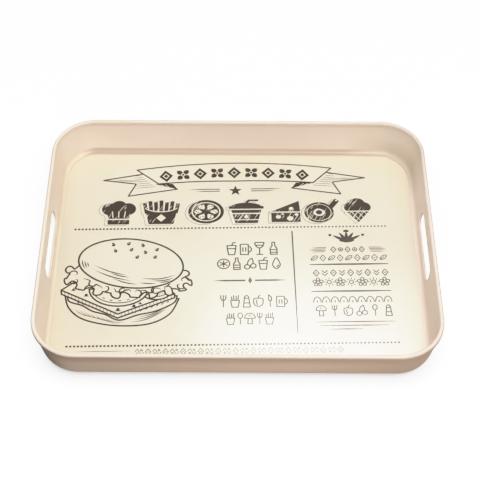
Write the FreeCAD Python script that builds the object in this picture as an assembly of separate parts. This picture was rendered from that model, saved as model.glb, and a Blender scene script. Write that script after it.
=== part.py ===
import FreeCAD, Part
import math
import os

# Serving tray: a moulded shell with two hand slots, a printed sheet laid in the
# floor of its well, and a clear glaze over the sheet.
# Millimetres. +X runs along the long side, +Y along the short side, +Z is up.
# The origin is the centre of the footprint, on the plane the tray stands on.

# Driving dimensions
LENGTH = 450.0            # outside of the rim, along X
WIDTH = 350.0             # outside of the rim, along Y
HEIGHT = 50.0
RIM_CORNER_R = 52.0       # corner radius of the rim's outline, seen from above
WALL_T = 2.5
LEAN = math.radians(9.3)  # how far the walls lean out from the vertical
FLOOR_TOP = 5.0           # height of the finished floor of the well
FLOOR_T = 2.8             # thickness of the shell under the printed sheet

# Rim bead: a full round top over straight sides, proud of the wall inside and out
BEAD_W = 5.0
BEAD_SIDE = 2.2
BEAD_PROUD = 1.2          # how far its inner side overhangs the wall's line, at its centre
BEAD_TUCK = 0.7           # height of the step from the bead's inner side back to the wall
BEAD_LIP_R = 0.7
BEAD_NECK_R = 1.0

# Rounds between the walls and the floor
COVE_R = 5.0
BASE_R = 13.0

# Foot ring that the tray stands on
FOOT_W = 4.5
FOOT_LEAN = 1.2

# Printed sheet and glaze, laid in a shallow pocket in the floor
SHEET_INSET = 15.6        # from the outside of the rim to the edge of the sheet
SHEET_CORNER_R = 41.0
SHEET_T = 0.2
GLAZE_T = 0.4
LAYER_GAP = 0.02          # between the sheet and the glaze, so that they stay two solids
POCKET_GAP = 0.2          # round the edge of both

# Hand slots in the two short walls
SLOT_LEN = 92.5
SLOT_LOW = 11.5
SLOT_HIGH = 30.5
SLOT_CORNER_R = 8.5
SLOT_EDGE_R = 0.9
SLOT_REACH = 26.0         # how far in from the rim's outside the slot's cut goes

# The wall's section is swept round the tray, from the rim in to this inset.
RING_INSET = 42.0

# Heights that follow from the stack of floor, sheet and glaze
GLAZE_LOW = FLOOR_TOP - GLAZE_T
SHEET_TOP = GLAZE_LOW - LAYER_GAP
SHEET_LOW = SHEET_TOP - SHEET_T
UNDERSIDE = SHEET_LOW - FLOOR_T

EIGHTH_TURN = math.pi / 4
CORNERS = [(1, -1), (1, 1), (-1, 1), (-1, -1)]

# For picking the edges of a slot: slack on its box, and the least share of X in the
# direction of an edge that runs through the wall
EDGE_SLACK = 0.1
THROUGH_SHARE = 0.9


def outline(inset, z, corner_r=None):
    """A rounded rectangle. It runs parallel to the rim's outline unless corner_r is given."""
    half_x = LENGTH / 2 - inset
    half_y = WIDTH / 2 - inset
    r = RIM_CORNER_R - inset if corner_r is None else corner_r
    arcs = []
    for k, (sx, sy) in enumerate(CORNERS):
        centre = FreeCAD.Vector(sx * (half_x - r), sy * (half_y - r), z)
        angles = [(2 * k - 2 + step) * EIGHTH_TURN for step in range(3)]
        arcs.append([centre + FreeCAD.Vector(r * math.cos(a), r * math.sin(a), 0) for a in angles])
    edges = []
    for k, arc in enumerate(arcs):
        following = arcs[(k + 1) % len(arcs)]
        edges.append(Part.Arc(*arc).toShape())
        edges.append(Part.makeLine(arc[-1], following[0]))
    return Part.Wire(edges)


def slab(inset, z_low, z_high, corner_r=None):
    """A flat plate with the outline's shape."""
    face = Part.Face(outline(inset, z_low, corner_r))
    return face.extrude(FreeCAD.Vector(0, 0, z_high - z_low))


def on_arc(centre, radius, angle):
    """A point of the section, as (inset, height), on a round."""
    return centre[0] + radius * math.cos(angle), centre[1] + radius * math.sin(angle)


def round_between(corner, radius, from_angle, to_angle):
    """Three points of the arc that rounds a corner of the section.

    from_angle and to_angle are the directions from the corner along its two sides."""
    half = (to_angle - from_angle) / 2
    reach = radius / math.sin(abs(half))
    bisector = from_angle + half
    centre = on_arc(corner, reach, bisector)
    run = reach * math.cos(half)
    return [on_arc(corner, run, from_angle),
            on_arc(centre, radius, bisector + math.pi),
            on_arc(corner, run, to_angle)]


def wall_section():
    """The section of rim, wall, cove, base round and foot, as lists of points (inset, height).

    A list of three points is an arc, and consecutive lists are joined by straight lines."""
    bead_r = BEAD_W / 2
    bead_z = HEIGHT - bead_r
    lip_z = bead_z - BEAD_SIDE - BEAD_LIP_R
    slope = math.tan(LEAN)
    thick = WALL_T / math.cos(LEAN)

    def inner(z):
        return BEAD_W - BEAD_PROUD + (bead_z - z) * slope

    down = -math.pi / 2 + LEAN
    up = math.pi / 2 + LEAN
    bead = [on_arc((bead_r, bead_z), bead_r, a) for a in (0, math.pi / 2, math.pi)]
    lip = round_between((0, lip_z), BEAD_LIP_R, math.pi / 2, 0)
    neck = round_between((inner(lip_z) - thick, lip_z), BEAD_NECK_R, -math.pi, down)
    base = round_between((inner(0) - thick, 0), BASE_R, up, 0)
    foot_in = base[-1][0] + FOOT_W
    cove = round_between((inner(FLOOR_TOP), FLOOR_TOP), COVE_R, 0, up)
    bead_low = bead_z - BEAD_SIDE
    tuck_z = bead_low - BEAD_TUCK
    return [bead, lip, neck, base,
            [(foot_in, 0)], [(foot_in + FOOT_LEAN, UNDERSIDE)],
            [(RING_INSET, UNDERSIDE)], [(RING_INSET, FLOOR_TOP)], cove,
            [(inner(tuck_z), tuck_z)], [(BEAD_W, bead_low)]]


def wall_ring():
    """The wall section swept round the rim's outline."""
    spine = outline(0, 0)
    start = spine.OrderedEdges[0].valueAt(spine.OrderedEdges[0].FirstParameter)
    groups = [[start + FreeCAD.Vector(0, inset, z) for inset, z in group]
              for group in wall_section()]
    edges = []
    for k, group in enumerate(groups):
        if len(group) > 1:
            edges.append(Part.Arc(*group).toShape())
        edges.append(Part.makeLine(group[-1], groups[(k + 1) % len(groups)][0]))
    return spine.makePipeShell([Part.Wire(edges)], True, False)


def runs_through(edge):
    """Whether an edge runs through a short wall, along X."""
    return abs(edge.tangentAt(edge.FirstParameter).x) > THROUGH_SHARE


def hand_slot(side):
    """The body of air that opens one short wall, on the side +1 or -1 of X."""
    low_corner = FreeCAD.Vector(LENGTH / 2 - SLOT_REACH, -SLOT_LEN / 2, SLOT_LOW)
    block = Part.makeBox(SLOT_REACH, SLOT_LEN, SLOT_HIGH - SLOT_LOW, low_corner)
    block = block.makeFillet(SLOT_CORNER_R, [e for e in block.Edges if runs_through(e)])
    if side < 0:
        block = block.mirror(FreeCAD.Vector(0, 0, 0), FreeCAD.Vector(1, 0, 0))
    return block


def slot_rims(shape):
    """The edges where a hand slot breaks through the two faces of a wall."""
    reach_y = SLOT_LEN / 2 + EDGE_SLACK
    found = []
    for edge in shape.Edges:
        box = edge.BoundBox
        inside = (box.YMin > -reach_y and box.YMax < reach_y
                  and box.ZMin > SLOT_LOW - EDGE_SLACK and box.ZMax < SLOT_HIGH + EDGE_SLACK
                  and min(abs(box.XMin), abs(box.XMax)) > LENGTH / 2 - SLOT_REACH)
        if inside and not runs_through(edge):
            found.append(edge)
    return found


def tray_body():
    """Rim, walls, floor and foot ring, moulded in one piece."""
    body = wall_ring().fuse(slab(RING_INSET, UNDERSIDE, FLOOR_TOP))
    pocket = slab(SHEET_INSET - POCKET_GAP, SHEET_LOW, HEIGHT, SHEET_CORNER_R + POCKET_GAP)
    body = body.cut(pocket)
    for side in (1, -1):
        body = body.cut(hand_slot(side))
    body = body.removeSplitter()
    return body.makeFillet(SLOT_EDGE_R, slot_rims(body))


def decor_sheet():
    """The printed sheet in the floor of the well."""
    return slab(SHEET_INSET, SHEET_LOW, SHEET_TOP, SHEET_CORNER_R)


def clear_glaze():
    """The clear layer moulded over the printed sheet."""
    return slab(SHEET_INSET, GLAZE_LOW, FLOOR_TOP, SHEET_CORNER_R)


os.makedirs("parts", exist_ok=True)
for build in (tray_body, decor_sheet, clear_glaze):
    build().exportStep(os.path.join("parts", build.__name__ + ".step"))
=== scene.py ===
"""Looks of the serving tray: materials, the printed artwork, light and camera.

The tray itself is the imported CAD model. The artwork is drawn here as flat ink shapes, in
millimetres of the print's own frame, and laid on the printed sheet as thin closed solids."""
import math
import random

import bmesh
import bpy
from mathutils import Euler, Matrix, Vector
from mathutils.geometry import delaunay_2d_cdt


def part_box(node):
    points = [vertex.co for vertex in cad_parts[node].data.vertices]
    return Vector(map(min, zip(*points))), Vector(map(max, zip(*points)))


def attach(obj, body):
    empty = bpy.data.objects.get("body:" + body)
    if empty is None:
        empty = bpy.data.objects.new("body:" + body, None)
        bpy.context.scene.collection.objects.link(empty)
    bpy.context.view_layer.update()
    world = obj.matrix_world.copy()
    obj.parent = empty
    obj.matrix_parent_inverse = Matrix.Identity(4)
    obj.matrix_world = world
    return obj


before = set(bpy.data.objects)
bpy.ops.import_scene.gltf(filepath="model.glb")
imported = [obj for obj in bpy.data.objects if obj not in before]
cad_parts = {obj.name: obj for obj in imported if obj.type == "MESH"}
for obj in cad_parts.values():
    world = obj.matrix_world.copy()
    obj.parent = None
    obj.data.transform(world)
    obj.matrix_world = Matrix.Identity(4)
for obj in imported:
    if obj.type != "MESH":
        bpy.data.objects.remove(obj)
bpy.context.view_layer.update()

MM = 0.001
TURN = 2 * math.pi

# The print lies a little off the middle of the sheet, and turned by about a degree.
PRINT_CENTRE = (-6.5, 0.0)
PRINT_TURN = math.radians(1.3)

# The ink reaches a little into the sheet, and stands as much proud of it.
INK_SINK, INK_RISE = 0.05, 0.05
INK, PAPER = True, False
LEAST_LINE = 0.06
SEAM = 1e-4                   # points closer than this are one point
BEND = 0.75                   # a corner whose turn has a smaller cosine gets a round joint


# ---------------------------------------------------------------- curves

def arc(cx, cy, rx, ry, start, stop, steps=12):
    """Points of an ellipse's arc. Angles are in degrees."""
    angles = [math.radians(start + (stop - start) * k / steps) for k in range(steps + 1)]
    return [(cx + rx * math.cos(a), cy + ry * math.sin(a)) for a in angles]


def disc(cx, cy, r, sides=14):
    return arc(cx, cy, r, r, 0, 360, sides)[:-1]


def rect(x0, y0, x1, y1):
    return [(x0, y0), (x1, y0), (x1, y1), (x0, y1)]


def smooth(points, closed=False, steps=6):
    """A curve through the points (Catmull-Rom)."""
    n = len(points)
    if closed:
        spans = [[points[(k + j) % n] for j in (-1, 0, 1, 2)] for k in range(n)]
    else:
        spans = [[points[min(max(k + j, 0), n - 1)] for j in (-1, 0, 1, 2)] for k in range(n - 1)]
    found = []
    for a, b, c, d in spans:
        for s in range(steps):
            t = s / steps
            weights = ((-t + 2 * t * t - t ** 3) / 2, (2 - 5 * t * t + 3 * t ** 3) / 2,
                       (t + 4 * t * t - 3 * t ** 3) / 2, (t ** 3 - t * t) / 2)
            found.append(tuple(sum(w * p[i] for w, p in zip(weights, (a, b, c, d))) for i in (0, 1)))
    return found if closed else found + [points[-1]]


def moved(points, dx=0.0, dy=0.0, scale=1.0, turn=0.0, flip=1.0):
    """Points scaled, mirrored, turned and then shifted."""
    c, s = math.cos(turn), math.sin(turn)
    return [(dx + scale * (c * flip * x - s * y), dy + scale * (s * flip * x + c * y)) for x, y in points]


# ---------------------------------------------------------------- the drawing

class Art:
    """Shapes of ink and of bare paper, painted one over another."""

    def __init__(self):
        self.layers = []

    def fill(self, outline, ink=INK):
        area = sum(ax * by - bx * ay for (ax, ay), (bx, by) in zip(outline, outline[1:] + outline[:1]))
        self.layers.append((ink, outline if area > 0 else outline[::-1]))

    def line(self, points, width, ink=INK, ends=(1.0, 1.0)):
        """A stroke that starts and ends at a share of its width, full in its middle third."""
        run = [p for k, p in enumerate(points) if k == 0 or math.dist(p, points[k - 1]) > SEAM]
        if len(run) == 2:
            (ax, ay), (bx, by) = run
            run = [(ax + (bx - ax) * k / 3, ay + (by - ay) * k / 3) for k in range(4)]
        at = [0.0]
        for a, b in zip(run, run[1:]):
            at.append(at[-1] + math.dist(a, b))
        ways = [((b[0] - a[0]) / math.dist(a, b), (b[1] - a[1]) / math.dist(a, b))
                for a, b in zip(run, run[1:])]

        def half(k):
            t = at[k] / at[-1]
            grow = min(1.0, ends[0] + (1 - ends[0]) * 3 * t, ends[1] + (1 - ends[1]) * 3 * (1 - t))
            return max(width * grow, LEAST_LINE) / 2

        def edge(k, way, lean):
            h = half(k) * lean
            x, y = run[k]
            return (x - way[1] * h, y + way[0] * h), (x + way[1] * h, y - way[0] * h)

        sides = []
        for k in range(len(run)):
            before, after = ways[max(k - 1, 0)], ways[min(k, len(ways) - 1)]
            dot = before[0] * after[0] + before[1] * after[1]
            if dot < BEND:
                self.fill(disc(*run[k], half(k), 8), ink)
                sides.append((edge(k, before, 1), edge(k, after, 1)))
            else:
                lean = 1 / math.sqrt((1 + dot) / 2)
                mid = Vector((before[0] + after[0], before[1] + after[1])).normalized()
                both = edge(k, mid, lean)
                sides.append((both, both))
        for (_, (a, b)), ((c, d), _) in zip(sides, sides[1:]):
            self.fill([b, d, c, a], ink)

    def loop(self, points, width, ink=INK):
        self.line(points + points[:2], width, ink)

    def shape(self, points, width):
        """A closed outline round bare paper, which hides what was drawn under it."""
        self.fill(points, PAPER)
        self.loop(points, width)

    def piece(self, name, material):
        """Joins the layers into one thin closed solid on the printed sheet.

        Where layers overlap, the last one painted decides between ink and bare paper."""
        verts, faces = [], []
        for _, outline in self.layers:
            faces.append(list(range(len(verts), len(verts) + len(outline))))
            verts += [Vector(p) for p in outline]
        flat, _, cells, _, _, owners = delaunay_2d_cdt(verts, [], faces, 1, SEAM, True)
        inked = [cell for cell, own in zip(cells, owners) if own and self.layers[max(own)][0]]
        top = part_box("decor_sheet")[1].z
        c, s = math.cos(PRINT_TURN), math.sin(PRINT_TURN)
        bm = bmesh.new()
        levels = []
        for z in (top - INK_SINK * MM, top + INK_RISE * MM):
            levels.append({k: bm.verts.new(((PRINT_CENTRE[0] + c * flat[k].x - s * flat[k].y) * MM,
                                            (PRINT_CENTRE[1] + s * flat[k].x + c * flat[k].y) * MM, z))
                           for k in sorted({k for cell in inked for k in cell})})
        low, high = levels
        seen = {(a, b) for cell in inked for a, b in zip(cell, cell[1:] + cell[:1])}
        for cell in inked:
            bm.faces.new([high[k] for k in cell])
            bm.faces.new([low[k] for k in reversed(cell)])
        for a, b in sorted(seen):
            if (b, a) not in seen:
                bm.faces.new((low[a], low[b], high[b], high[a]))
        mesh = bpy.data.meshes.new(name)
        bm.to_mesh(mesh)
        bm.free()
        mesh.materials.append(material)
        piece = bpy.data.objects.new(name, mesh)
        bpy.context.scene.collection.objects.link(piece)
        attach(piece, "root")
        return piece


# ---------------------------------------------------------------- ribbon and star

MIDDLE = 4.5                  # the axis of the ribbon, across the print
BAND_HALF, BAND_RISE = 120, 10.0
BAND_TOP, BAND_LOW = 134, 107.0
RIBBON_LINE = 1.6
ORNAMENTS, ORNAMENT_PITCH, ORNAMENT_HIGH = 9, 21.0, 118.2


def arched(x, y):
    """Carries a point of the straight band onto the arched one."""
    return MIDDLE + x, y + BAND_RISE * (1 - (x / BAND_HALF) ** 2)


def ribbon(art):
    """An arched band with two folded tails, and nine bold ornaments along it."""
    for side in (-1, 1):
        tail = [(MIDDLE + side * x, y) for x, y in
                ((106, 128.5), (160.5, 117.5), (120.5, 111), (129.5, 91.5), (70, 102), (92, 113))]
        art.shape(tail, RIBBON_LINE)
        for k in range(7):
            reach = 26 - 3 * k
            start = (MIDDLE + side * (97 + 3.2 * k), 106.5 + 3.1 * k)
            art.line([start, (start[0] + side * reach, start[1] - 0.10 * reach)], 0.5, ends=(1, 0))
        for k in range(4):
            start = (MIDDLE + side * (150 - 6 * k), 115.5 - 0.4 * k)
            art.line([start, (start[0] - side * 17, start[1] + 2.8)], 0.45, ends=(0, 0))
        fold = [(MIDDLE + side * x, y) for x, y in ((97, 110.4), (70, 102), (75.5, 110.5), (88, 112))]
        art.fill(fold)
        for k in range(3):
            x = 80 + 5 * k
            art.line([(MIDDLE + side * x, 105.2 + k), (MIDDLE + side * (x + 5), 109.5)], 0.7, PAPER)
    top = [arched(x, BAND_TOP) for x in range(-BAND_HALF, BAND_HALF + 1, 12)]
    bottom = [arched(x, BAND_LOW - 2.8 * (1 - abs(x) / 97)) for x in range(97, -98, -10)]
    art.shape(top + bottom, RIBBON_LINE)
    for k in range(ORNAMENTS):
        x = ORNAMENT_PITCH * (k - (ORNAMENTS - 1) / 2)
        turn = math.atan(-2 * BAND_RISE * x / BAND_HALF ** 2)
        cx, cy = arched(x, ORNAMENT_HIGH)
        bold_ornament(art, k, cx, cy, turn)


def bold_ornament(art, k, cx, cy, turn):
    """A lozenge or a four-petalled flower by turns, up to 19 mm high."""
    def put(points, ink):
        art.fill(moved(points, cx, cy, 1.0, turn), ink)

    if k % 2:
        for quarter in range(4):
            petal = smooth([(0, 1.0), (3.3, 5.6), (0, 9.8), (-3.3, 5.6)], closed=True)
            put(moved(petal, turn=TURN * quarter / 4 + TURN / 8), INK)
        put(disc(0, 0, 2.6), PAPER)
        put(disc(0, 0, 1.5), INK)
    else:
        for reach, ink in ((1.0, INK), (0.52, PAPER), (0.32, INK)):
            put([(8.4 * reach, 0), (0, 9.4 * reach), (-8.4 * reach, 0), (0, -9.4 * reach)], ink)


STAR = (MIDDLE + 1, 98.5)


def star(art):
    """A five-pointed star between four lines that taper outwards."""
    points = []
    for k in range(10):
        reach = 8.4 if k % 2 == 0 else 3.3
        angle = TURN * (k / 10 + 0.25)
        points.append((STAR[0] + reach * math.cos(angle), STAR[1] + reach * math.sin(angle)))
    art.fill(points)
    for side in (-1, 1):
        for y, reach in ((101.2, 56), (98.0, 48)):
            art.line([(STAR[0] + side * 19, y), (STAR[0] + side * reach, y)], 1.1, ends=(1, 0))


# ---------------------------------------------------------------- the row of bold emblems

EMBLEM_LOW, EMBLEM_HIGH = 47.0, 84.0
EMBLEM_MID = (EMBLEM_LOW + EMBLEM_HIGH) / 2
EMBLEM_SPANS = ((-156, -115), (-107, -62), (-52, -9), (-3, 39), (48, 83), (88, 131), (134, 171))
ECHO = (-3.4, -1.6)           # from an emblem to the thin line that follows it
ECHO_LINE, EMBLEM_MARGIN = 0.75, 1.6
SCRATCHES = 18


# Each returns fills of ink or paper, drawn about the middle of a box some 37 mm high.
def chef_hat():
    puffs = [(INK, disc(x, y, r, 20)) for x, y, r in
             ((-11.5, 5.5, 9.3), (11.5, 5.5, 9.3), (0, 9, 9.6))]
    crown = [(INK, [(-15, 4), (15, 4), (12.5, -9.5), (-12.5, -9.5)])]
    band = [(INK, rect(-13, -18.5, 13, -11.5))]
    pleats = [(PAPER, [(x - 0.7, 2), (x + 0.7, 2), (0.85 * x + 0.7, -8), (0.85 * x - 0.7, -8)])
              for x in (-8, 0, 8)]
    return puffs + crown + band + pleats


def fries_carton():
    sticks = []
    half = 1.9
    for k, tall in enumerate((14.5, 17.5, 16, 18.5, 15.5, 17, 13.5)):
        x = 4.9 * (k - 3)
        lean = 0.16 * x
        sticks.append((INK, [(x - half, -2), (x + half, -2),
                             (x + lean + half, tall), (x + lean - half, tall)]))
    mouth = arc(0, 9, 17.5, 9, 200, 340, 10)
    carton = [(INK, mouth + [(12.5, -18.5), (-12.5, -18.5)])]
    rim = [(PAPER, [(x, y + 1.4) for x, y in mouth] + [(x, y - 0.2) for x, y in reversed(mouth)])]
    mark = [(PAPER, [(5 * a, -9 + 6 * b) for a, b in ((1, 0), (0, 1), (-1, 0), (0, -1))])]
    return sticks + carton + rim + mark


def tomato_slice():
    shapes = [(INK, disc(0, 0, 18.5, 32)), (PAPER, disc(0, 0, 15.2, 32)), (INK, disc(0, 0, 13.6, 32))]
    for k in range(6):
        cell = smooth([(4.2, 0), (9.5, 3.4), (12.3, 0), (9.5, -3.4)], closed=True)
        shapes.append((PAPER, moved(cell, turn=TURN * k / 6)))
        for x, y in ((8.2, 1.1), (10.3, -0.9)):
            shapes.append((INK, moved(disc(x, y, 0.8, 6), turn=TURN * k / 6)))
    return shapes


def drink_cup():
    straw = [(INK, [(-1.5, 13), (1.5, 13), (3.4, 16.0), (11, 16.0), (11, 18.5), (2.0, 18.5)])]
    lid = [(INK, arc(0, 7.0, 13.5, 6.5, 180, 0, 12)), (INK, rect(-15.5, 4.0, 15.5, 8.0))]
    cup = [(INK, [(-13.5, 2.2), (13.5, 2.2), (9.8, -18.5), (-9.8, -18.5)])]
    upper_band = [(PAPER, [(-12.6, -2.5), (12.6, -2.5), (12.4, -4.5), (-12.4, -4.5)])]
    drop = [(PAPER, smooth([(0, -5.2), (2.0, -8.8), (0, -11.2), (-2.0, -8.8)], closed=True))]
    lower_band = [(PAPER, [(-11, -12.6), (11, -12.6), (10.8, -14), (-10.8, -14)])]
    return straw + lid + cup + upper_band + drop + lower_band


def cheese_wedge():
    top = [(INK, [(-15.5, -1), (14.5, 15.5), (15.5, -1)])]
    front = [(INK, rect(-15.5, -17.5, 15.5, -3))]
    holes = [(PAPER, disc(x, y, r, 12)) for x, y, r in
             ((-8, -9.5, 2.9), (4.5, -12, 3.6), (11.5, -6, 2.1), (6, 3.6, 2.6), (-3, -5.2, 1.3))]
    return top + front + holes


def frying_pan():
    handle = [(INK, [(5.5, 5.4), (10.0, 0.8), (19.0, 14.6), (14.6, 18.6)]),
              (PAPER, disc(15.9, 15.4, 1.2, 8))]
    pan = [(INK, disc(-3.5, -3.0, 16.0, 28)), (PAPER, disc(-3.5, -3.0, 13.4, 28)),
           (INK, disc(-3.5, -3.0, 12.6, 28))]
    white = smooth([(-10.0, -3.0), (-6.4, 2.6), (-0.9, 2.1), (3.2, -2.9), (-0.9, -8.4), (-7.3, -7.6)],
                   closed=True)
    return handle + pan + [(PAPER, white), (INK, disc(-3.6, -2.9, 3.4, 14))]


def ice_cream():
    scoops = [(INK, disc(x, y, r, 20)) for x, y, r in ((-6.0, 4.5, 8.2), (6.0, 4.5, 8.2), (0, 10.6, 8.2))]
    gap = [(PAPER, rect(-14, -2.6, 14, -0.9))]
    cone = [(INK, [(-11.5, -2.6), (11.5, -2.6), (0, -19)])]
    waffle = []
    half = 0.5
    for x in (-6.6, 0, 6.6):
        for foot in (x - 9, x + 9):
            waffle.append((PAPER, [(x - half, -2.6), (x + half, -2.6),
                                   (foot + half, -17), (foot - half, -17)]))
    return scoops + gap + cone + waffle


def emblems(art):
    """Seven bold emblems, scratched, each with a thin line that follows it at the lower left."""
    draw = random.Random(5)
    makers = (chef_hat, fries_carton, tomato_slice, drink_cup, cheese_wedge, frying_pan, ice_cream)
    for maker, (u0, u1) in zip(makers, EMBLEM_SPANS):
        cx = (u0 + u1) / 2
        shapes = maker()
        xs = [x for _, outline in shapes for x, _ in outline]
        grow = (u1 - u0) / (max(xs) - min(xs))
        cx -= grow * (max(xs) + min(xs)) / 2
        placed = [(ink, [(cx + grow * x, EMBLEM_MID + y) for x, y in outline])
                  for ink, outline in shapes]
        solid = [outline for ink, outline in placed if ink]
        for outline in solid:
            art.loop(moved(outline, *ECHO), ECHO_LINE)
        for outline in solid:
            art.fill(moved(outline, *ECHO), PAPER)
        for outline in solid:
            art.loop(outline, EMBLEM_MARGIN, PAPER)
        for ink, outline in placed:
            art.fill(outline, ink)
        for _ in range(SCRATCHES):
            x = u0 + draw.random() ** 1.5 * (u1 - u0)
            y = EMBLEM_LOW + draw.random() ** 1.5 * (EMBLEM_HIGH - EMBLEM_LOW - 8)
            reach = draw.uniform(5, 13)
            art.line([(x, y), (x + 0.6 * reach, y + reach)], draw.uniform(0.35, 0.9), PAPER, ends=(0, 0))


# ---------------------------------------------------------------- the sandwich drawing

BUN = (-118.5, -12.5)
BUN_HALF, BUN_RISE, BUN_DROP = 61.5, 36.5, 35.0
BUN_TILT = math.radians(-8.5)
BUN_LINE, BOLD_LINE, SHADE_LINE, FINE_LINE = 2.05, 1.9, 1.3, 1.1
SEED_SCALE = 1.3


def bun_arc(share, start, stop, steps=12):
    """Part of a curve that runs inside the top bun's edge, at a share of its size."""
    points = arc(0, 0, share, share, start, stop, steps)
    points = [(BUN_HALF * x, (BUN_RISE if y > 0 else BUN_DROP) * y) for x, y in points]
    return moved(points, *BUN, turn=BUN_TILT)


def frill(path, depth, waves, curl):
    """A wavy edge along a path, its crests swollen by the curl.

    A smaller wave, out of step, keeps the crests from being all alike."""
    run = smooth(path, steps=15)
    last = len(run) - 1
    found = []
    for k, (x, y) in enumerate(run):
        a, b = run[max(k - 1, 0)], run[min(k + 1, last)]
        along = Vector((b[0] - a[0], b[1] - a[1])).normalized()
        t = TURN * waves * k / last
        push = depth * (math.sin(t) + 0.4 * math.sin(1.7 * t + 1.0))
        slide = -curl * depth * math.sin(2 * t)
        found.append((x + push * along.y + slide * along.x, y - push * along.x + slide * along.y))
    return found


def bottom_bun(art):
    crust = smooth([(-192, -58), (-187, -75), (-172, -90), (-146, -98.5), (-118, -101),
                    (-92, -97.5), (-72, -85), (-62, -64)])
    art.shape(crust, BOLD_LINE)
    for k in range(7):
        start = (-181 + 6.0 * k, -76 - 2.1 * k)
        art.line(smooth([start, (start[0] + 9, start[1] - 8), (start[0] + 22, start[1] - 12.5 + k)]),
                 0.6, ends=(0, 0))
    for k in range(4):
        sweep = [(-116 + 4 * k, -96 + 3.4 * k), (-98 + 3 * k, -92 + 3.6 * k),
                 (-76 + 2 * k, -79 + 3 * k)]
        art.line(smooth(sweep), FINE_LINE, ends=(0, 0))


def patty(art):
    edge = smooth([(-189, -56), (-187, -66), (-172, -72), (-160, -80), (-145, -85), (-129, -93),
                   (-108, -86), (-88, -81), (-68, -70), (-64, -60)])
    art.shape(edge, BOLD_LINE)
    for k in range(8):
        x = -178 + 5.5 * k
        art.line([(x, -66.0 - 2.1 * k), (x + 2.6, -69.5 - 2.1 * k)], FINE_LINE, ends=(0, 0))
    for k in range(8):
        x = -118 + 6 * k
        art.line([(x, -85.5 + 2.2 * k), (x + 3, -82.5 + 2.2 * k)], FINE_LINE, ends=(0, 0))


def cheese_slice(art):
    left, corner, right = (-197, -50), (-131, -84.5), (-67, -57)
    drop = 5.6
    rim = [left, corner, right]
    art.shape([(-182, -38), left, (left[0] + 0.5, left[1] - drop), (corner[0], corner[1] - drop),
               (right[0], right[1] - drop), right, (-84, -44)], BOLD_LINE)
    for a, b in zip(rim, rim[1:]):
        for k in range(1, 16):
            x, y = (a[i] + (b[i] - a[i]) * k / 16 for i in (0, 1))
            art.line([(x, y - 1), (x + 0.4, y - drop + 1)], 0.5)
    art.line(rim, BOLD_LINE)
    for x, y, r in ((-183, -49, 1.4), (-168, -57, 1.7), (-131, -78, 1.9), (-113, -73, 1.7),
                    (-106, -69.5, 1.2)):
        art.fill(moved(disc(0, 0, r, 8), x, y, turn=0.5))
        art.line([(x - 1.6 * r, y - r), (x + 1.6 * r, y - r)], FINE_LINE)


def tomato_rounds(art):
    for cx, cy, rx, ry in ((-88, -53, 17, 12), (-131, -49, 34, 24.5)):
        art.shape(arc(cx, cy, rx, ry, 180, 360, 16), BOLD_LINE)
        art.line(arc(cx, cy, rx - 4, ry - 4.5, 190, 350, 16), FINE_LINE)
        for k in range(5):
            angle = 225 + 22 * k
            art.line(arc(cx, cy, rx - 8, ry - 7.5, angle, angle + 9, 3), 1.2, ends=(0.2, 0.2))


def lettuce(art):
    edge = frill([(-168, -8), (-186, -17), (-193, -33), (-180, -45), (-160, -52), (-140, -57),
                  (-118, -59), (-96, -59), (-78, -55), (-62, -52), (-51, -44), (-52, -31), (-70, -22)],
                 3.6, 12, 0.5)
    art.shape(edge, BOLD_LINE)
    for k in range(8, len(edge) - 8, 15):
        x, y = edge[k]
        to_bun = Vector((BUN[0] - x, BUN[1] - 8 - y)).normalized()
        side = Vector((-to_bun.y, to_bun.x)) * (2.6 if k % 2 else -2.6)
        hook = [Vector((x, y)) + to_bun * reach + side * bend
                for reach, bend in ((0, 0), (3.5, 1.0), (7.5, 0.9), (9.5, -0.4), (7.5, -1.2))]
        art.line(smooth([tuple(p) for p in hook]), 1.6, ends=(1, 0.3))
    inner = frill([(-176, -30), (-160, -43), (-138, -50.5), (-114, -53.5), (-90, -51.5), (-70, -45)],
                  2.3, 7, 0.5)
    for start, stop in ((4, 24), (30, 44), (49, 66), (70, len(inner) - 2)):
        art.line(inner[start:stop], 1.8, ends=(0.3, 0.3))


def top_bun(art):
    art.shape(bun_arc(1.0, 0, 360, 64)[:-1], BUN_LINE)
    for share, start, stop in ((0.93, 183, 206), (0.88, 186, 205), (0.83, 189, 202)):
        art.line(bun_arc(share, start, stop), SHADE_LINE, ends=(0, 0.2))
    for left, low, right in (((-0.68, -0.22), (-0.36, -0.42), (0.00, -0.50)),
                             ((-0.34, -0.47), (-0.16, -0.55), (0.04, -0.57)),
                             ((-0.66, -0.42), (-0.32, -0.62), (0.10, -0.72)),
                             ((-0.28, -0.68), (-0.04, -0.80), (0.22, -0.83)),
                             ((0.26, -0.56), (0.60, -0.50), (0.90, -0.26)),
                             ((0.46, -0.62), (0.68, -0.55), (0.88, -0.38)),
                             ((0.24, -0.75), (0.42, -0.74), (0.56, -0.70)),
                             ((0.60, -0.66), (0.74, -0.58), (0.82, -0.50))):
        stroke = smooth([(BUN_HALF * x, BUN_DROP * y) for x, y in (left, low, right)])
        art.line(moved(stroke, *BUN, turn=BUN_TILT), SHADE_LINE, ends=(0, 0))
    for share, angles in ((0.80, (57, 79, 99, 121)), (0.56, (40, 66, 95, 128)), (0.30, (72,))):
        for k, angle in enumerate(angles):
            (x, y), = bun_arc(share, angle, angle, 1)[:1]
            body = smooth([(0, 2.5), (1.6, -0.4), (0, -1.9), (-1.6, -0.4)], closed=True, steps=3)
            lean = -0.6 + 0.45 * ((k * 2) % 4)
            art.fill(moved(body, x, y, SEED_SCALE, lean))
            art.fill(moved(disc(-0.4, 0.3, 0.5, 6), x, y, SEED_SCALE, lean), PAPER)


def sandwich(art):
    for part in (bottom_bun, patty, cheese_slice, tomato_rounds, lettuce, top_bun):
        part(art)


# ---------------------------------------------------------------- rows of line drawings

def closed(points):
    return points + points[:1]


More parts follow.
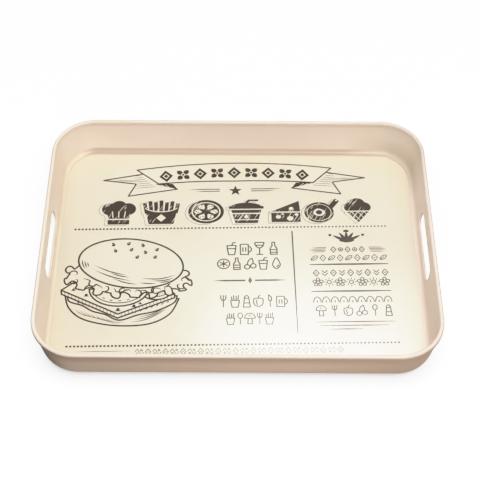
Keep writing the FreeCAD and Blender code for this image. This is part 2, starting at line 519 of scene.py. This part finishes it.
def spoke(angle, start, stop):
    """A stroke of two points along a direction from the middle."""
    return [(reach * math.cos(angle), reach * math.sin(angle)) for reach in (start, stop)]


def narrow_petal(angle):
    """A pointed petal from near the middle, for a flower of five."""
    (root, tip), spread = spoke(angle, 0.12, 0.5), 0.42
    sides = [spoke(angle + side * spread, 0.38, 0.38)[0] for side in (-1, 1)]
    return closed(smooth([root, sides[0], tip, sides[1]], closed=True, steps=3))


# Each drawing is a list of strokes in a box one unit high, centred on its middle.
TUMBLER = [closed([(-0.30, 0.26), (0.30, 0.26), (0.20, -0.5), (-0.20, -0.5)]),
           [(0.02, 0.26), (0.10, 0.5), (0.28, 0.5)], [(-0.25, 0.0), (0.25, 0.0)]]
MUG = [closed([(-0.34, 0.36), (0.18, 0.36), (0.18, -0.5), (-0.34, -0.5)]),
       arc(0.18, -0.06, 0.20, 0.24, 84, -84),
       [(-0.17, 0.1), (-0.17, -0.26)], [(0.01, 0.1), (0.01, -0.26)]]
BOTTLE = [closed([(-0.09, 0.5), (0.09, 0.5), (0.09, 0.2), (0.22, 0.0),
                  (0.22, -0.5), (-0.22, -0.5), (-0.22, 0.0), (-0.09, 0.2)]),
          [(-0.22, -0.12), (0.22, -0.12)], [(-0.22, -0.34), (0.22, -0.34)]]
GOBLET = [arc(0.0, 0.5, 0.30, 0.46, 180, 360) + [(-0.30, 0.5)], [(0.0, 0.04), (0.0, -0.5)],
          [(-0.22, -0.5), (0.22, -0.5)], [(-0.24, 0.26), (0.24, 0.26)]]
CITRUS = [closed(disc(0.0, 0.0, 0.42, 16))] + [
    spoke(math.radians(angle), 0.30, -0.30) for angle in (30, 90, 150)]
DROP = [closed(smooth([(0.0, 0.48), (0.26, -0.12), (0.0, -0.46), (-0.26, -0.12)], closed=True)),
        arc(0.0, -0.12, 0.13, 0.17, 270, 360, 5)]
CHERRIES = [closed(disc(-0.2, -0.28, 0.19, 12)), closed(disc(0.22, -0.2, 0.19, 12)),
            smooth([(-0.2, -0.09), (-0.1, 0.25), (0.14, 0.48)]),
            smooth([(0.22, -0.01), (0.2, 0.25), (0.14, 0.48)])]
FRIES = [closed([(-0.30, 0.06), (0.30, 0.06), (0.2, -0.5), (-0.2, -0.5)])] + [
    [(x, 0.06), (1.2 * x, top)] for x, top in ((-0.2, 0.38), (-0.07, 0.48), (0.07, 0.42), (0.2, 0.5))]
FORK = [[(0.0, -0.5), (0.0, 0.5)],
        [(-0.17, 0.5), (-0.17, 0.22), (-0.09, 0.08), (0.09, 0.08), (0.17, 0.22), (0.17, 0.5)]]
SPOON = [closed(arc(0.0, 0.26, 0.17, 0.24, 0, 360, 12)[:-1]), [(0.0, 0.02), (0.0, -0.5)]]
KNIFE = [closed([(-0.08, 0.02), (-0.08, 0.5), (0.1, 0.3), (0.1, 0.02)]), [(0.0, 0.02), (0.0, -0.5)]]
SHAKER = [closed([(-0.15, 0.22), (0.15, 0.22), (0.23, -0.5), (-0.23, -0.5)]),
          arc(0.0, 0.22, 0.15, 0.24, 0, 180, 8), [(-0.2, -0.16), (0.2, -0.16)]]
MUSHROOM = [closed(arc(0.0, 0.02, 0.38, 0.44, 0, 180, 12)),
            [(-0.13, 0.02), (-0.16, -0.46), (0.16, -0.46), (0.13, 0.02)],
            [(-0.12, 0.24), (0.06, 0.24)]]
PEPPER = [closed(smooth([(-0.1, 0.22), (-0.3, 0.16), (-0.28, -0.28), (0.0, -0.46),
                         (0.28, -0.28), (0.3, 0.16), (0.1, 0.22)], closed=True)),
          smooth([(0.0, 0.2), (0.02, 0.36), (0.14, 0.5)]),
          smooth([(-0.09, 0.1), (-0.12, -0.1), (-0.06, -0.34)])]
LOZENGE = [closed([(0.0, 0.5), (0.36, 0.0), (0.0, -0.5), (-0.36, 0.0)]), [(-0.12, 0.0), (0.12, 0.0)]]
RING = [closed(disc(0.0, 0.0, 0.30, 12)), closed(disc(0.0, 0.0, 0.08, 6))]
LEAF = [closed(smooth([(-0.42, -0.3), (-0.12, 0.24), (0.42, 0.3), (0.12, -0.24)], closed=True, steps=4)),
        [(-0.42, -0.3), (0.16, 0.12)]]
CHEVRONS = [[(-0.35, 0.4 - drop), (0.0, 0.0 - drop), (0.35, 0.4 - drop)] for drop in (0.0, 0.42)]
FLOWER = [narrow_petal(TURN * k / 5 + TURN / 4) for k in range(5)]
SUN = [closed(disc(0.0, 0.0, 0.20, 10))] + [spoke(TURN * k / 8, 0.34, 0.5) for k in range(8)]
SCALLOP = [arc(0.0, -0.45, 0.48, 0.9, 0, 180, 10), [(0.0, -0.45), (0.0, -0.1)]]
RIPPLE = [smooth([(-0.55, 0.0), (-0.28, 0.42), (0.0, 0.0), (0.28, -0.42), (0.55, 0.0)]),
          closed(disc(-0.28, -0.26, 0.13, 6)), closed(disc(0.28, 0.26, 0.13, 6))]


def row(art, drawings, u0, u1, v, tall, width, count=None):
    """Drawings spaced evenly from u0 to u1, repeated up to the count."""
    count = count or len(drawings)
    for k in range(count):
        cx = u0 + (u1 - u0) * (k + 0.5) / count
        for stroke in drawings[k % len(drawings)]:
            art.line(moved(stroke, cx, v, tall), width)


def middle_column(art):
    """Two rows of drawings over a ruled line with a lozenge in its middle, and two under it."""
    row(art, [TUMBLER, MUG, GOBLET, BOTTLE], -9, 57, 8, 18, 1.35)
    row(art, [CITRUS, BOTTLE, CHERRIES, TUMBLER, DROP], -18, 59, -14.5, 17, 1.35)
    u, v = 20, -39
    for side in (-1, 1):
        art.line([(u + side * 5.5, v), (u + side * 42, v)], 2.1, ends=(1, 0.1))
    art.fill([(u + 2.3, v), (u, v + 5.2), (u - 2.3, v), (u, v - 5.2)])
    row(art, [FORK, FRIES, SHAKER, PEPPER, KNIFE, MUG], -18, 62, -68.5, 17, 1.3)
    row(art, [FRIES, SPOON, MUSHROOM, FORK, FRIES], -9, 46, -93, 16, 1.2)


COLUMN = 136.0                # the axis of the right column, across the print
COLUMN_RULE = 46              # half the length of its two ruled lines


def crown(art):
    """Five leaves fanned out over a curved band, with a ball by each outer one and a bead on top."""
    for angle, reach in ((-62, 18.5), (-33, 15.5), (0, 14.5), (33, 15.5), (62, 18.5)):
        leaf = smooth([(0, 0), (2.0, 0.42 * reach), (0, reach), (-2.0, 0.42 * reach)], closed=True)
        art.fill(moved(leaf, COLUMN, 17.5, turn=math.radians(-angle)))
    for k in (-1, 1):
        art.fill(disc(COLUMN + 19.5 * k, 27.0, 1.8, 10))
    art.fill(arc(COLUMN, 33.0, 3.4, 1.8, 0, 360, 12)[:-1])
    art.fill(arc(COLUMN, 22.5, 11, 7.0, 215, 325, 10) + arc(COLUMN, 22.5, 9.8, 4.6, 325, 215, 10))


def column_rule(art, v):
    art.line([(COLUMN - COLUMN_RULE, v), (COLUMN + COLUMN_RULE, v)], 2.2, ends=(0.5, 0.5))


def right_column(art):
    """The crown between tufts of fine lines, then rows of ornaments and drawings, ruled apart."""
    crown(art)
    for side in (-1, 1):
        for k in range(4):
            v = 8.2 - 2.1 * k
            near, far = 25 + 0.6 * k, 47 - 3 * abs(k - 1.5)
            art.line([(COLUMN + side * near, v), (COLUMN + side * far, v - 0.4)], 0.8, ends=(1, 0))
    row(art, [LOZENGE, RING], COLUMN - 21, COLUMN + 21, 5, 8.5, 0.95, 5)
    row(art, [LEAF, LOZENGE], 91, 182, -7.5, 9.5, 0.9, 9)
    column_rule(art, -17)
    row(art, [LOZENGE, CHEVRONS], 92, 182, -29.5, 9.5, 1.1, 9)
    row(art, [FLOWER, SUN], 92, 182, -43, 12.5, 1.1, 7)
    column_rule(art, -56)
    row(art, [SCALLOP], 91, 182, -68, 9, 1.2, 9)
    row(art, [MUSHROOM, FORK, PEPPER, CHERRIES, SPOON, SHAKER], 92, 184, -83.5, 15.5, 1.25)
    for v, u0, u1 in ((-99, 92, 183), (-104, 97, 176), (-109, 108, 145)):
        art.line([(u0, v), (u1, v)], 1.5, ends=(0.5, 0.4))


FIRST_DASH, DASH_PITCH, DASH_REACH = 2.35, 4.2, 186.0


def dotted_lines(art):
    """Two lines of square dots across the print, whose dots shrink a little to the right."""
    last = int(2 * DASH_REACH / DASH_PITCH)
    for v, last_dash in ((40.0, 1.8), (-128.0, 2.1)):
        for k in range(last + 1):
            u = DASH_PITCH * k - DASH_REACH
            half = (FIRST_DASH + (last_dash - FIRST_DASH) * k / last) / 2
            art.fill(rect(u - half, v - half, u + half, v + half))


def divider(art):
    """The upright line between the middle and the right column."""
    art.line([(71.7, 34), (71.7, -114)], 1.5, ends=(1, 0.6))


def bottom_row(art):
    """A band of small ripples and lozenges, led in by a fine line."""
    row(art, [RIPPLE, LOZENGE], -110, 123, -136.5, 8.5, 0.62, 24)
    art.line([(-176, -135), (-115, -135)], 0.5, ends=(0, 0))


# ---------------------------------------------------------------- materials

class Look:
    """A material whose nodes work in metres of the tray's own frame."""

    def __init__(self, name):
        self.material = bpy.data.materials.new(name)
        self.material.use_nodes = True
        self.tree = self.material.node_tree
        self.shader = self.tree.nodes["Principled BSDF"]
        self.place = self.add("TexCoord").outputs["Object"]

    def add(self, kind, inputs=None, **settings):
        node = self.tree.nodes.new("ShaderNode" + kind)
        for key, value in settings.items():
            setattr(node, key, value)
        self.feed(node, inputs or {})
        return node

    def feed(self, node, inputs):
        for key, value in inputs.items():
            if isinstance(value, bpy.types.NodeSocket):
                self.tree.links.new(value, node.inputs[key])
            else:
                node.inputs[key].default_value = value

    def noise(self, scale, detail=3.0, stretch=(1.0, 1.0, 1.0)):
        spot = self.add("Mapping", {"Vector": self.place, "Scale": stretch}).outputs["Vector"]
        return self.add("TexNoise", {"Vector": spot, "Scale": scale, "Detail": detail}).outputs["Fac"]

    def span(self, value, low, high, to_low=0.0, to_high=1.0):
        """The value's range low..high carried onto to_low..to_high, and held there outside it."""
        node = self.add("MapRange", {"Value": value, "From Min": low, "From Max": high,
                                     "To Min": to_low, "To Max": to_high})
        return node.outputs["Result"]

    def times(self, a, b):
        return self.add("Math", {0: a, 1: b}, operation="MULTIPLY").outputs[0]

    def mix(self, share, first, second):
        return self.add("MixRGB", {"Fac": share, "Color1": first, "Color2": second}).outputs[0]

    def over(self, colour, tone, *gates):
        """The tone laid over the colour, as far as all the gates are open."""
        share = gates[0]
        for gate in gates[1:]:
            share = self.times(share, gate)
        return self.mix(share, colour, tone)

    def axes(self, vector):
        """The X, Y and Z of a vector."""
        parts = self.add("SeparateXYZ", {"Vector": vector}).outputs
        return parts["X"], parts["Y"], parts["Z"]

    def unsigned(self, value):
        return self.add("Math", {0: value}, operation="ABSOLUTE").outputs[0]

    def bump(self, height, strength, depth):
        return self.add("Bump", {"Height": height, "Strength": strength, "Distance": depth}).outputs[0]


SHELL_LIGHT, SHELL_DEEP = (0.86, 0.735, 0.635, 1), (0.835, 0.695, 0.585, 1)
# Painted light: the left inner wall lighter and creamier. Painted shade: its cove darker.
SHELL_LEFT_PAINTED_LIGHT, SHELL_LEFT_FOOT_SHADE = (0.89, 0.765, 0.635, 1), (0.80, 0.68, 0.52, 1)
# Painted shade: a redder tone for the outer walls, and a darker one under the bead.
SHELL_OUTER_SHADE, SHELL_UNDER_RIM_SHADE = (0.92, 0.73, 0.59, 1), (0.64, 0.48, 0.38, 1)
# Painted shade: darker tones for the front wall's right end and its left corner.
SHELL_FRONT_END_SHADE, SHELL_FRONT_CORNER_SHADE = (0.68, 0.53, 0.41, 1), (0.54, 0.43, 0.34, 1)
# Painted shade: a darker tone for the back right corner.
SHELL_BACK_CORNER_SHADE = (0.62, 0.52, 0.41, 1)
# The dark tone is painted shade, in the back cove and along the sheet's back edge.
SHELL_COVE_SHADE, SHELL_SCUFF = (0.48, 0.36, 0.27, 1), (0.93, 0.87, 0.79, 1)
# The edge tone is painted shade towards the sheet's edges, and also the tone of the paper fibre.
PAPER_LIGHT, PAPER_WARM, PAPER_EDGE_SHADE_AND_FIBRE = (0.835, 0.78, 0.66, 1), (0.82, 0.75, 0.61, 1), (0.80, 0.69, 0.54, 1)
# Painted shade: darker paper towards the left and towards the right.
PAPER_LEFT_SHADE, PAPER_RIGHT_SHADE = (0.785, 0.705, 0.575, 1), (0.765, 0.705, 0.585, 1)
INK_DARK, INK_WORN = (0.046, 0.028, 0.015, 1), (0.20, 0.145, 0.095, 1)

# Heights on the rim, and how strongly three of the tones show at most: the rim's scuffs, and the painted
# shade in the back cove and at the front's right end
CREST_LOW, CREST_HIGH = 0.0475, 0.0500
SCUFF_SHARE, COVE_SHADE_SHARE, FRONT_END_SHADE_SHARE = 0.55, 0.85, 0.75


def inside_light_and_shade(look, colour):
    """The walls' inner tones, all painted light and shade: lighter and creamier at the left, darker on
    the left cove and in the back right corner.
    """
    x, y, height = look.axes(look.place)
    # Painted light: the left inner wall made lighter and creamier.
    colour = look.over(colour, SHELL_LEFT_PAINTED_LIGHT, look.span(x, -0.212, -0.200, 1.0, 0.0))
    # Painted shade: the cove at the foot of the left wall made darker.
    colour = look.over(colour, SHELL_LEFT_FOOT_SHADE, look.span(x, -0.185, -0.160, 1.0, 0.0),
                       look.span(height, 0.008, 0.012, 1.0, 0.0))
    # Painted shade: the back right corner darker, most near the floor.
    return look.over(colour, SHELL_BACK_CORNER_SHADE, look.span(x, 0.13, 0.19), look.span(y, 0.08, 0.13),
                     look.span(height, 0.008, 0.030, 1.0, 0.4))


def outside_shade(look, colour, outward, upright):
    """The walls' outer tones, all painted shade: redder where they face out and down, and darker under
    the bead and at the front's two ends.
    """
    x, y, height = look.axes(look.place)
    outer = look.times(look.span(outward, 0.01, 0.04), look.span(upright, 0.02, 0.50, 1.0, 0.0))
    # Painted shade: a redder tone on the outer walls, where they face out and down.
    colour = look.over(colour, SHELL_OUTER_SHADE, outer)
    # Painted shade: darker just under the bead and on its side.
    colour = look.over(colour, SHELL_UNDER_RIM_SHADE, outer, look.span(height, 0.028, 0.0455))
    # Painted shade: the front wall darker towards its right end.
    colour = look.over(colour, SHELL_FRONT_END_SHADE, outer, look.span(y, -0.168, -0.150, 1.0, 0.0),
                       look.span(x, 0.07, 0.19, 0.0, FRONT_END_SHADE_SHARE))
    # Painted shade: the front left corner darker.
    return look.over(colour, SHELL_FRONT_CORNER_SHADE, outer, look.span(y, -0.150, -0.100, 1.0, 0.0),
                     look.span(x, -0.210, -0.185, 1.0, 0.0))


def cove_shade(look, colour, upright):
    """Painted shade: a dark line along the cove at the foot of the back wall, lost towards both ends."""
    x, y, height = look.axes(look.place)
    return look.over(colour, SHELL_COVE_SHADE, look.span(y, 0.145, 0.152),
                     look.span(x, -0.195, -0.180), look.span(x, 0.13, 0.185, 1.0, 0.0),
                     look.span(upright, 0.165, 0.24),
                     look.span(height, 0.0070, 0.0110, COVE_SHADE_SHARE, 0.0))


def shell_look():
    """Satin moulded plastic, with faint flow marks, a fine skin and light scuffs on the rim, and painted
    light and shade on its walls.
    """
    look = Look("shell_plastic")
    flow = look.span(look.noise(7.0, 2.0, (1.0, 1.0, 3.0)), 0.35, 0.65)
    normal = look.add("NewGeometry").outputs["Normal"]
    outward = look.add("VectorMath", {0: normal, 1: look.place}, operation="DOT_PRODUCT").outputs["Value"]
    _, _, upright = look.axes(normal)
    _, _, height = look.axes(look.place)
    colour = look.mix(flow, SHELL_LIGHT, SHELL_DEEP)
    colour = inside_light_and_shade(look, colour)
    colour = outside_shade(look, colour, outward, upright)
    colour = cove_shade(look, colour, upright)
    crest = look.span(height, CREST_LOW, CREST_HIGH)
    scuffs = look.span(look.noise(420.0, 2.0, (1.0, 0.35, 1.0)), 0.60, 0.72)
    colour = look.over(colour, SHELL_SCUFF, crest, scuffs, SCUFF_SHARE)
    skin = look.noise(1100.0, 2.0)
    look.feed(look.shader, {
        "Base Color": colour,
        "Roughness": look.span(look.noise(55.0), 0.3, 0.7, 0.30, 0.42),
        "IOR": 1.49,
        "Normal": look.bump(skin, 0.10, 0.0002),
    })
    return look.material


# Both strips are painted shade: the sheet darker towards its edges and along its back edge.
PAPER_BORDER, BACK_EDGE = 0.034, 0.004      # widths of the toned strips along the sheet's edges


def paper_look():
    """Cream printed sheet: soft mottling, painted shade that makes it darker and yellower towards the
    edges and darker at the left, towards the right and along the back edge, and fine paper fibre.
    """
    look = Look("printed_paper")
    mottle = look.span(look.noise(11.0, 3.0), 0.38, 0.66)
    colour = look.mix(mottle, PAPER_LIGHT, PAPER_WARM)
    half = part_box("decor_sheet")[1]
    x, y, _ = look.axes(look.place)
    for part, reach in ((x, half.x), (y, half.y)):
        # Painted shade: the sheet darker and yellower towards its edges, by the walls.
        edge = look.span(look.unsigned(part), reach - PAPER_BORDER, reach, 0.0, 0.55)
        colour = look.over(colour, PAPER_EDGE_SHADE_AND_FIBRE, edge)
    # Painted shade: darker, warmer paper towards the left, most at the front.
    colour = look.over(colour, PAPER_LEFT_SHADE, look.span(x, -0.205, -0.125, 1.0, 0.0),
                       look.span(y, -0.14, 0.10, 1.0, 0.7))
    # Painted shade: darker paper towards the right, most at the front, under the glaze's reflection.
    colour = look.over(colour, PAPER_RIGHT_SHADE, look.span(x, -0.06, 0.14),
                       look.span(y, -0.10, 0.10, 1.0, 0.15))
    # Painted shade: the sheet darker along its back edge, by the wall.
    colour = look.over(colour, SHELL_COVE_SHADE, look.span(y, half.y - BACK_EDGE, half.y, 0.0, 0.7))
    fibre = look.noise(900.0, 3.0, (1.0, 0.4, 1.0))
    colour = look.over(colour, PAPER_EDGE_SHADE_AND_FIBRE, look.span(fibre, 0.62, 0.80, 0.0, 0.16))
    look.feed(look.shader, {
        "Base Color": colour,
        "Roughness": look.span(fibre, 0.3, 0.7, 0.62, 0.74),
        "Specular IOR Level": 0.2,
        "Normal": look.bump(fibre, 0.06, 0.0001),
    })
    return look.material


def ink_look():
    """Near-black brown ink, worn thin in small specks and here and there in larger patches."""
    look = Look("printing_ink")
    specks = look.span(look.noise(1300.0, 3.0), 0.60, 0.70)
    patches = look.span(look.noise(45.0, 3.0), 0.40, 0.62, 0.10, 0.75)
    look.feed(look.shader, {
        "Base Color": look.mix(look.times(specks, patches), INK_DARK, INK_WORN),
        "Roughness": look.span(patches, 0.1, 0.75, 0.50, 0.68),
        "Specular IOR Level": 0.2,
    })
    return look.material


def glaze_look():
    """Clear overlay: it lets the print through and adds a soft gloss, with a faint ripple."""
    look = Look("clear_glaze")
    ripple = look.bump(look.noise(38.0, 2.0), 0.05, 0.002)
    gloss = look.add("BsdfGlossy", {
        "Color": (1, 1, 1, 1),
        "Roughness": look.span(look.noise(80.0), 0.3, 0.7, 0.21, 0.25),
        "Normal": ripple,
    }, distribution="BECKMANN")
    clear = look.add("BsdfTransparent", {"Color": (0.995, 0.995, 0.99, 1)})
    fresnel = look.add("Fresnel", {"IOR": 1.5, "Normal": ripple}).outputs[0]
    outer_side = look.span(look.add("NewGeometry").outputs["Backfacing"], 0.0, 1.0, 1.0, 0.0)
    share = look.times(fresnel, outer_side)
    both = look.add("MixShader", {0: share, 1: clear.outputs[0], 2: gloss.outputs[0]})
    look.tree.nodes.remove(look.shader)
    look.feed(look.tree.nodes["Material Output"], {"Surface": both.outputs[0]})
    return look.material


STAGE_SEEN, STAGE_BOUNCE = (0.58, 0.58, 0.59, 1), (0.46, 0.39, 0.33, 1)
STAGE_BOUNCE_LEFT = (0.09, 0.08, 0.065, 1)
GLOW_NEAR, GLOW_FAR = 0.90, 1.3
CONTACT_REACH, CONTACT_SHADE = 0.022, 0.46


def stage_look():
    """Matt studio floor, lit from within so that shadows stay light, and dimmer as a reflector.

    The glow fades close under the tray, and most along its front and back."""
    look = Look("studio_floor")
    seen = look.add("LightPath").outputs["Is Camera Ray"]
    away = look.add("VectorMath", {0: look.place}, operation="LENGTH").outputs["Value"]
    glow = look.span(away, 0.7, 2.6, GLOW_NEAR, GLOW_FAR)
    x, y, _ = look.axes(look.place)
    open_air = look.add("AmbientOcclusion", {"Distance": CONTACT_REACH}, samples=12).outputs["AO"]
    shut = look.times(look.span(look.unsigned(y), 0.115, 0.155, 0.35, 1.0),
                      look.span(open_air, 0.30, 0.95, CONTACT_SHADE, 0.0))
    glow = look.times(glow, look.span(shut, 0.0, 1.0, 1.0, 0.0))
    bounce = look.mix(look.span(x, -0.30, 0.0), STAGE_BOUNCE_LEFT, STAGE_BOUNCE)
    look.feed(look.shader, {
        "Base Color": look.mix(seen, bounce, STAGE_SEEN),
        "Roughness": 0.9,
        "Specular IOR Level": 0.0,
        "Emission Color": (1, 1, 1, 1),
        "Emission Strength": look.times(seen, glow),
    })
    return look.material


# ---------------------------------------------------------------- the tray

for node, make_look in (("tray_body", shell_look), ("decor_sheet", paper_look),
                        ("clear_glaze", glaze_look)):
    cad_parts[node].data.materials.clear()
    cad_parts[node].data.materials.append(make_look())

ink = ink_look()
for name, draw_on in (("ink_ribbon", ribbon), ("ink_star", star), ("ink_emblems", emblems),
                      ("ink_dotted_lines", dotted_lines), ("ink_sandwich", sandwich),
                      ("ink_middle_column", middle_column), ("ink_divider", divider),
                      ("ink_right_column", right_column), ("ink_bottom_row", bottom_row)):
    art = Art()
    draw_on(art)
    art.piece(name, ink)


# ---------------------------------------------------------------- floor, light and camera

def plane(name, half):
    """A level square on the plane that the tray stands on."""
    mesh = bpy.data.meshes.new(name)
    corners = [(x, y, 0) for x, y in rect(-half, -half, half, half)]
    mesh.from_pydata(corners, [], [(0, 1, 2, 3)])
    made = bpy.data.objects.new(name, mesh)
    bpy.context.scene.collection.objects.link(made)
    return made


def area(name, place, aim, size, power):
    """A rectangular soft light that faces the aim."""
    lamp = bpy.data.lights.new(name, "AREA")
    lamp.shape = "RECTANGLE"
    lamp.size, lamp.size_y = size
    lamp.energy = power
    made = bpy.data.objects.new(name, lamp)
    made.location = place
    made.rotation_euler = (Vector(aim) - Vector(place)).to_track_quat("-Z", "Y").to_euler()
    bpy.context.scene.collection.objects.link(made)
    return made


FLOOR_HALF = 12.0
floor = plane("stage_floor", FLOOR_HALF)
floor.data.materials.append(stage_look())

# Places and sizes are in metres, and powers in watts.
TRAY_MIDDLE = (0.0, 0.0, 0.0)
area("over_right", (0.35, -0.4, 1.8), TRAY_MIDDLE, (1.2, 1.2), 24.7)
area("over_left", (-0.7, 0.1, 1.6), TRAY_MIDDLE, (0.8, 0.8), 5.6)
area("front_right", (0.8, -1.3, 0.8), TRAY_MIDDLE, (0.6, 0.6), 1.2)
area("front_middle", (-0.12, -1.5, 0.5), TRAY_MIDDLE, (0.6, 0.6), 5.4)

# The card gives the glaze its broad reflection at the right. It shows in reflections only.
card = area("reflected_card", (0.17, 0.60, 1.18), (0.085, -0.16, 0.0), (0.42, 0.30), 4.9)
card.visible_diffuse = False

# The surroundings look white; as a light they are dimmer, and fade out towards the front.
WORLD_SEEN, WORLD_FRONT, WORLD_BACK = 1.6, 0.0, 0.52
world = bpy.data.worlds.new("studio")
world.use_nodes = True
bpy.context.scene.world = world
sky = world.node_tree
way = sky.nodes.new("ShaderNodeSeparateXYZ")
sky.links.new(sky.nodes.new("ShaderNodeTexCoord").outputs["Generated"], way.inputs[0])
lit = sky.nodes.new("ShaderNodeMapRange")
for socket, value in (("From Min", -1.0), ("From Max", 1.0),
                      ("To Min", WORLD_FRONT), ("To Max", WORLD_BACK)):
    lit.inputs[socket].default_value = value
sky.links.new(way.outputs["Y"], lit.inputs["Value"])
level = sky.nodes.new("ShaderNodeMapRange")
level.inputs["To Max"].default_value = WORLD_SEEN
sky.links.new(sky.nodes.new("ShaderNodeLightPath").outputs["Is Camera Ray"], level.inputs["Value"])
sky.links.new(lit.outputs["Result"], level.inputs["To Min"])
sky.links.new(level.outputs["Result"], sky.nodes["Background"].inputs["Strength"])
sky.nodes["Background"].inputs["Color"].default_value = (1.0, 1.0, 1.0, 1.0)

CAMERA_AIM = Vector((0.0026, 0.0075, 0.0))
CAMERA_DISTANCE = 1.4917
CAMERA_DEPRESSION = math.radians(51.62)
CAMERA_YAW = math.radians(0.39)
CAMERA_ROLL = math.radians(0.66)
LENS_MM, SENSOR_MM = 90.41, 36.0

lens = bpy.data.cameras.new("camera")
lens.lens = LENS_MM
lens.sensor_width = SENSOR_MM
lens.sensor_fit = "AUTO"
camera = bpy.data.objects.new("camera", lens)
tilt = Euler((math.pi / 2 - CAMERA_DEPRESSION, 0.0, -CAMERA_YAW)).to_matrix()
turn = tilt @ Matrix.Rotation(CAMERA_ROLL, 3, "Z")
camera.matrix_world = Matrix.Translation(CAMERA_AIM + turn.col[2] * CAMERA_DISTANCE) @ turn.to_4x4()
bpy.context.scene.collection.objects.link(camera)
bpy.context.scene.camera = camera

# Light in the scene, and what the picture shows for it: straight, then a soft shoulder to white.
FILM_WHITE = 1.5
SHOULDER = ((0.2, 0.2), (0.4, 0.4), (0.6, 0.6), (0.8, 0.8), (0.9, 0.872), (1.0, 0.912),
            (1.15, 0.947), (1.3, 0.973))
ALL_CHANNELS = 3

view = bpy.context.scene.view_settings
view.view_transform = "Standard"
view.use_curve_mapping = True
view.curve_mapping.white_level = (FILM_WHITE, FILM_WHITE, FILM_WHITE)
for seen, shown in SHOULDER:
    view.curve_mapping.curves[ALL_CHANNELS].points.new(seen / FILM_WHITE, shown)
view.curve_mapping.update()
